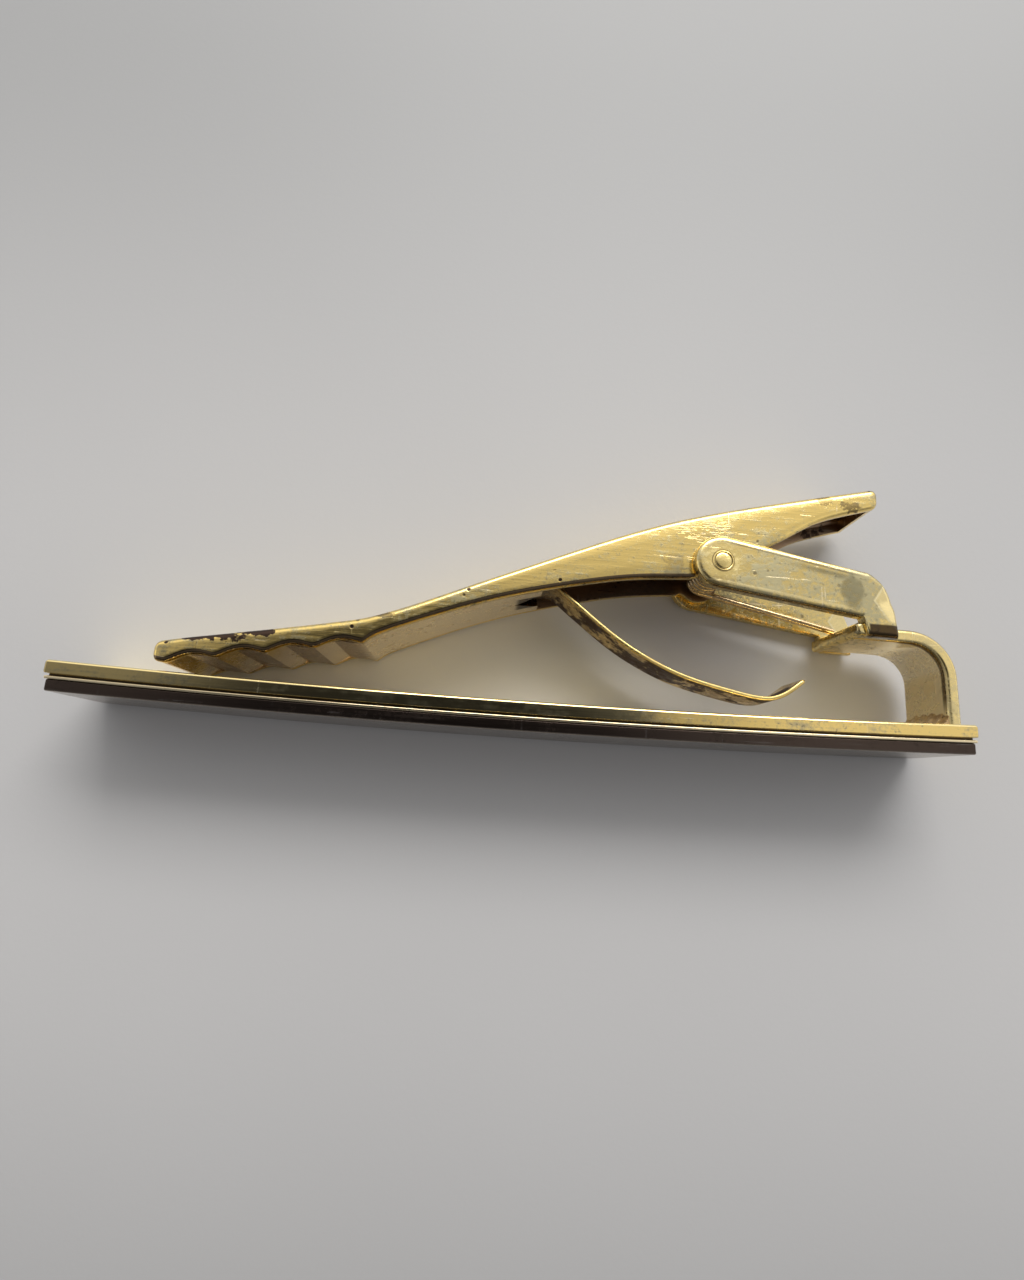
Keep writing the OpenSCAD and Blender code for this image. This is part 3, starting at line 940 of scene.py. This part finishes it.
def rivet_rings(m, x, y, z, colour, shine, fine):
    # A painted highlight: a bright halo round the rivet. Painted shade: dark rings in the head's groove and at
    # its rim.
    outer = near_side(m, z)
    away = ((x - pivot.x) ** 2.0 + (y - pivot.y) ** 2.0) ** 0.5
    halo_highlight = (1 - m.band(away, 0.9, 1.7)) * outer
    colour = m.mix(halo_highlight * 0.55, colour, (0.98, 0.76, 0.3))
    for r0, r1, depth in ((0.575, 0.625, 0.8), (0.735, 0.79, 0.6)):
        ring = m.between(away, r0 - 0.02, r0, r1, r1 + 0.02) * outer
        colour = m.mix(ring * depth, colour, (0.2, 0.13, 0.06))
    return colour, shine


def ear_smear(m, x, y, z, colour, shine, fine):
    outer = near_side(m, z)
    upper = above_pivot(x, y, TOP_SLOPE)
    streak = m.band(upper + (fine - 0.5) * 0.5, EAR_R - 1.15, EAR_R - 0.8) \
        * (1 - m.band(upper, EAR_R - 0.75, EAR_R - 0.5)) * m.between(x, 16.5, 20.0, 21.2, 22.4) * outer
    spot = m.oval((x, 22.0, 0.85), (y, BASE + 10.9, 1.35))
    smear = m.larger(streak, (1 - m.band(spot + (fine - 0.5) * 2.2, 0.35, 1.15)) * outer)
    return m.mix(smear * 0.6, colour, (0.2, 0.18, 0.11)), shine


# %% Strap and heel
def strap_faces(m, x, y, z, colour, shine, fine):
    # The strap's inner face is painted pale as a painted reflection, and its near rim is painted dark as shade.
    # The strap right of x = 25.3 mm is painted a brighter gold.
    under = m.between(x, 22.0, 22.6, 28.75, 28.95) * (1 - m.band(y, BASE + 7.6, BASE + 8.1)) \
        * (1 - m.band(z, 5.4, 5.7))
    colour = m.mix(m.band(x, 25.2, 25.4) * 0.6, colour, (0.95, 0.76, 0.36))
    colour = m.mix(under * (0.86 + 0.4 * (fine - 0.5)), colour, (1.0, 0.93, 0.78))
    rim_shade = m.between(z, 5.28, 5.42, 5.66, 5.76) * m.between(x, 25.4, 26.4, 29.5, 29.62) \
        * m.band(y, BASE + 3.0, BASE + 4.4)
    return m.mix(rim_shade * 0.85, colour, (0.1, 0.065, 0.035)), shine + under * 0.06


def heel_polish_and_highlight(m, x, y, z, colour, shine, fine):
    # The heel is polished, smoother and painted a brighter yellow, partly as its real polish and partly as a
    # painted highlight on the dome. The line along its ridge is a painted highlight.
    along_heel = x - m.size(y - CHEVRON_Y) * CHEVRON_LEAN
    heel = m.band(along_heel, CHEVRON_X - 0.06, CHEVRON_X + 0.08) * m.band(y, BASE + 8.9, BASE + 9.1)
    ridge = heel * (1 - m.band(along_heel, CHEVRON_X + 0.1, CHEVRON_X + 0.22))
    colour = m.mix(heel * 0.9, colour, (0.98, 0.8, 0.4))
    return m.mix(ridge * 0.45, colour, (1.0, 0.92, 0.62)), shine - heel * 0.14


def heel_corner(m, x, y, z, colour, shine, fine):
    """The heel's end turns away from the light and looks nearly black."""
    corner = m.between(x, 22.95, 23.1, 25.3, 25.45) * (1 - m.band(y, BASE + 8.72, BASE + 8.86)) \
        * m.band(z, WIDE - 0.9, WIDE - 0.75)
    return m.mix(corner * 0.94, colour, (0.055, 0.032, 0.02)), shine


def bridge_finish(m, x, y, z, colour, shine, fine):
    for layer in (ear_edge, rivet_rings, ear_smear, strap_faces, heel_polish_and_highlight, heel_corner):
        colour, shine = layer(m, x, y, z, colour, shine, fine)
    return colour, shine


# %% [markdown]
# ## Every finish, and what wears it
# Polished, brushed and solder gold differ in colour, in where they wear, and in how rough they are. Making
# them from one function keeps them one metal. The inside of the jaw and its rolled edge are slots of their own
# on the shell, painted dark brown as the shade inside the channel and under the foot.

# %% Polished and brushed pieces
BRIGHT, DULL, BROWN = (0.95, 0.7, 0.25), (0.52, 0.45, 0.25), (0.06, 0.038, 0.028)
ROOF_Z = MID + 2.4
bright_gold = gold("gold_bright", BRIGHT, (0.6, 0.5, 0.28), BROWN, 0.47, 0.74, (0.12, 0.24), 0.6,
                   tint=plate_layers)
jaw_spots = [((-20.8, BASE + 4.75, WIDE), (3.4, 0.42, 1.6), 1.0),
             ((-17.6, BASE + 5.2, WIDE), (1.9, 0.4, 1.5), 1.0),
             ((-9.6, BASE + 6.9, WIDE), (1.0, 0.25, 1.5), 0.7),
             ((20.7, BASE + 18.0, ROOF_Z), (0.7, 0.45, 1.2), 0.55),
             ((22.6, BASE + 17.6, ROOF_Z), (0.9, 0.45, 1.0), 0.7),
             ((9.9, BASE + 12.2, ROOF_Z), (0.9, 0.9, 1.0), 0.35),
             ((0.0, BASE + 9.0, MID), (2.4, 0.7, 1.6), 0.9)]
brushed_gold = gold("gold_brushed_jaw", (0.96, 0.71, 0.25), DULL, BROWN, 0.46, 0.7, (0.12, 0.32), 0.9, pits=1.0,
                    bump=0.4, scuffed=((12.2, BASE + 14.9), (2.4, 1.3)), patches=jaw_spots)
yoke_gold = gold("gold_brushed_bridge", (0.95, 0.72, 0.28), (0.52, 0.46, 0.27), BROWN, 0.43, 0.72,
                 (0.14, 0.32), 1.0, brush_axis=(500, 900, 500), pits=0.5, bump=0.36, tint=bridge_finish,
                 patches=[((12.4, BASE + 11.0, WIDE), (1.6, 0.4, 0.5), 0.5)])
panel_gold = gold("gold_front_panel", (0.075, 0.055, 0.045), (0.05, 0.038, 0.032), BROWN, 0.5, 0.7,
                  (0.2, 0.34), 0.8, tint=panel_layers, scratch=0.3)
print("made", [finish.name for finish in (bright_gold, brushed_gold, yoke_gold, panel_gold)])

# %% Tarnished pieces
sole_gold = gold("gold_sole", (1.0, 0.88, 0.68), (0.9, 0.74, 0.52), BROWN, 0.5, 0.76, (0.24, 0.36), 0.5,
                 scratch=0.3, tint=facet_shade)
leaf_gold = gold("gold_tongue", (0.84, 0.6, 0.2), (0.4, 0.27, 0.1), (0.06, 0.028, 0.012), 0.44, 0.49,
                 (0.18, 0.34), 0.7, pits=1.0, bump=0.45, tint=leaf_root_shadow_and_edge)
# The inside of the jaw is painted dark brown as painted shade.
inside_gold = gold("gold_inside_jaw", (0.36, 0.25, 0.16), (0.24, 0.17, 0.12), BROWN, 0.48, 0.6,
                   (0.3, 0.45), 0.6)
wire_gold = gold("gold_spring_wire", (0.74, 0.56, 0.32), (0.46, 0.35, 0.22), BROWN, 0.48, 0.62,
                 (0.2, 0.34), 0.5)
solder_gold = gold("gold_solder", (0.78, 0.58, 0.3), (0.46, 0.32, 0.18), BROWN, 0.45, 0.6,
                   (0.24, 0.45), 0.2, bump=0.6)
# The jaw's rolled foot is painted a near black-brown as painted shade.
edge_gold = gold("gold_jaw_edge", (0.2, 0.14, 0.08), (0.12, 0.09, 0.06), BROWN, 0.5, 0.7,
                 (0.12, 0.24), 0.3, scratch=0.4)
wearers = ((back_plate, bright_gold), (front_panel, panel_gold), (bridge_yoke, yoke_gold),
           (foot_fillet, solder_gold), (pivot_rivet, yoke_gold), (jaw_shell, brushed_gold),
           (jaw_sole, sole_gold), (fabric_tongue, leaf_gold), (closing_spring, wire_gold),
           (jaw_shell, inside_gold), (jaw_shell, edge_gold))
for obj, material in wearers:
    obj.data.materials.append(material)
print("finishes on pieces", [(obj.name, material.name) for obj, material in wearers])

# %% [markdown]
# ## Table, light and camera
# The table is a pale, faintly grained sheet, painted darker as shade towards the camera and behind the clip.
# Polished metal shows the room, so the light is one broad soft panel behind the jaw and a room with dim and
# bright parts, and the camera is close, high and wide.

# %% Table
TABLE = 0.8
floor_mesh = bpy.data.meshes.new("table_top")
corners = [(-TABLE, -TABLE, 0), (TABLE, -TABLE, 0), (TABLE, TABLE, 0), (-TABLE, TABLE, 0)]
floor_mesh.from_pydata(corners, [], [(0, 1, 2, 3)])
floor = bpy.data.objects.new("table_top", floor_mesh)
bpy.context.scene.collection.objects.link(floor)
floor.location.z = -0.00005
paint = Maker("table_paint")
grain = paint.noise(paint.place(), 2200.0, 3.0, 0.6)
cloud = paint.noise(paint.place(), 30.0, 2.0, 0.5)
down_table = paint.axes(paint.place())[1] * (1 / MM)
tint = paint.mix(cloud, (0.58, 0.575, 0.58), (0.62, 0.615, 0.62))
# Painted shade: the table is painted darker behind the clip, over its first 55 mm, and towards the camera, from
# 20 mm to 75 mm in front.
tint = paint.mix(paint.band(down_table, 0.0, 55.0), tint, (0.44, 0.442, 0.447))
tint = paint.mix(paint.band(down_table, -75.0, -20.0), (0.3, 0.302, 0.307), tint)
floor.data.materials.append(paint.surface(tint, 0.55, grain, 0.25, depth=0.00003, metallic=0.0))
print("table", 2 * TABLE, "m across")

# %% Light
WINDOW_AT = Vector((0.22, 0.95, 0.8))
window_data = bpy.data.lights.new("window", "AREA")
window_data.shape, window_data.size, window_data.size_y = "RECTANGLE", 1.0, 0.5
window_data.energy, window_data.color = 9.8, (1.0, 0.985, 0.96)
window = bpy.data.objects.new("window", window_data)
window.location = WINDOW_AT
window.rotation_euler = (-WINDOW_AT).to_track_quat("-Z", "Y").to_euler()
bpy.context.scene.collection.objects.link(window)
print("window of", round(window_data.energy, 1), "W")

# %% Room
world = bpy.data.worlds.new("room")
bpy.context.scene.world = world
world.use_nodes = True
sky = Maker("room_shading", world.node_tree)
way = sky.node("ShaderNodeTexCoord", out="Generated")


def toward(direction):
    """1 straight towards a direction, 0 across it and -1 away from it."""
    d = Vector(direction).normalized()
    return sky.node("ShaderNodeVectorMath", {"operation": "DOT_PRODUCT"}, way, tuple(d), out="Value")


ROOM_STOPS = ((0.12, (0.03, 0.03, 0.033)), (0.42, (0.3, 0.3, 0.31)),
              (0.78, (0.46, 0.455, 0.45)), (0.93, (1.35, 1.32, 1.26)))
room = sky.node("ShaderNodeValToRGB", {"stops": ROOM_STOPS}, toward((0.12, 0.95, 0.28)) * 0.5 + 0.5)
dark_ceiling = sky.band(toward((-0.1, -0.08, 1.0)), 0.9, 0.96)
room = sky.mix(dark_ceiling * 0.93, room, (0.03, 0.03, 0.032))
side_glow = sky.band(toward((0.62, 0.04, 0.78)), 0.93, 0.985)
room = sky.mix(side_glow * 0.5, room, (1.1, 1.08, 1.03))
height = sky.axes(way)[2]
low_glow = (1 - sky.band(height, 0.4, 0.66)) * sky.band(toward((0.0, 1.0, 0.0)), -0.62, -0.15)
room = sky.mix(low_glow * 0.85, room, (1.05, 1.04, 1.01))
backdrop = sky.band(height, 0.3, -0.05)
room = sky.mix(backdrop * 0.8, room, (0.56, 0.56, 0.565))
sky.node("ShaderNodeOutputWorld", None, sky.node("ShaderNodeBackground", None, room, 1.0))
print("room nodes", len(world.node_tree.nodes))

# %% Camera
CAMERA_AT = Vector((-2.52, -12.91, 47.95))
camera = bpy.data.objects.new("camera", bpy.data.cameras.new("camera"))
bpy.context.scene.collection.objects.link(camera)
camera.data.lens, camera.data.sensor_width, camera.data.clip_start = 18.17, 36, 0.001
right = Vector((0.99663, 0.06404, 0.05134))
up = Vector((-0.07363, 0.97397, 0.21441))
back = Vector((-0.03627, -0.21746, 0.97539))
turn = Matrix((right, up, back)).transposed().to_4x4()
camera.matrix_world = Matrix.Translation(CAMERA_AT * MM) @ turn
bpy.context.scene.camera = camera
bpy.context.scene.view_settings.view_transform = "Standard"
print("camera", round(CAMERA_AT.z, 1), "mm above the table")
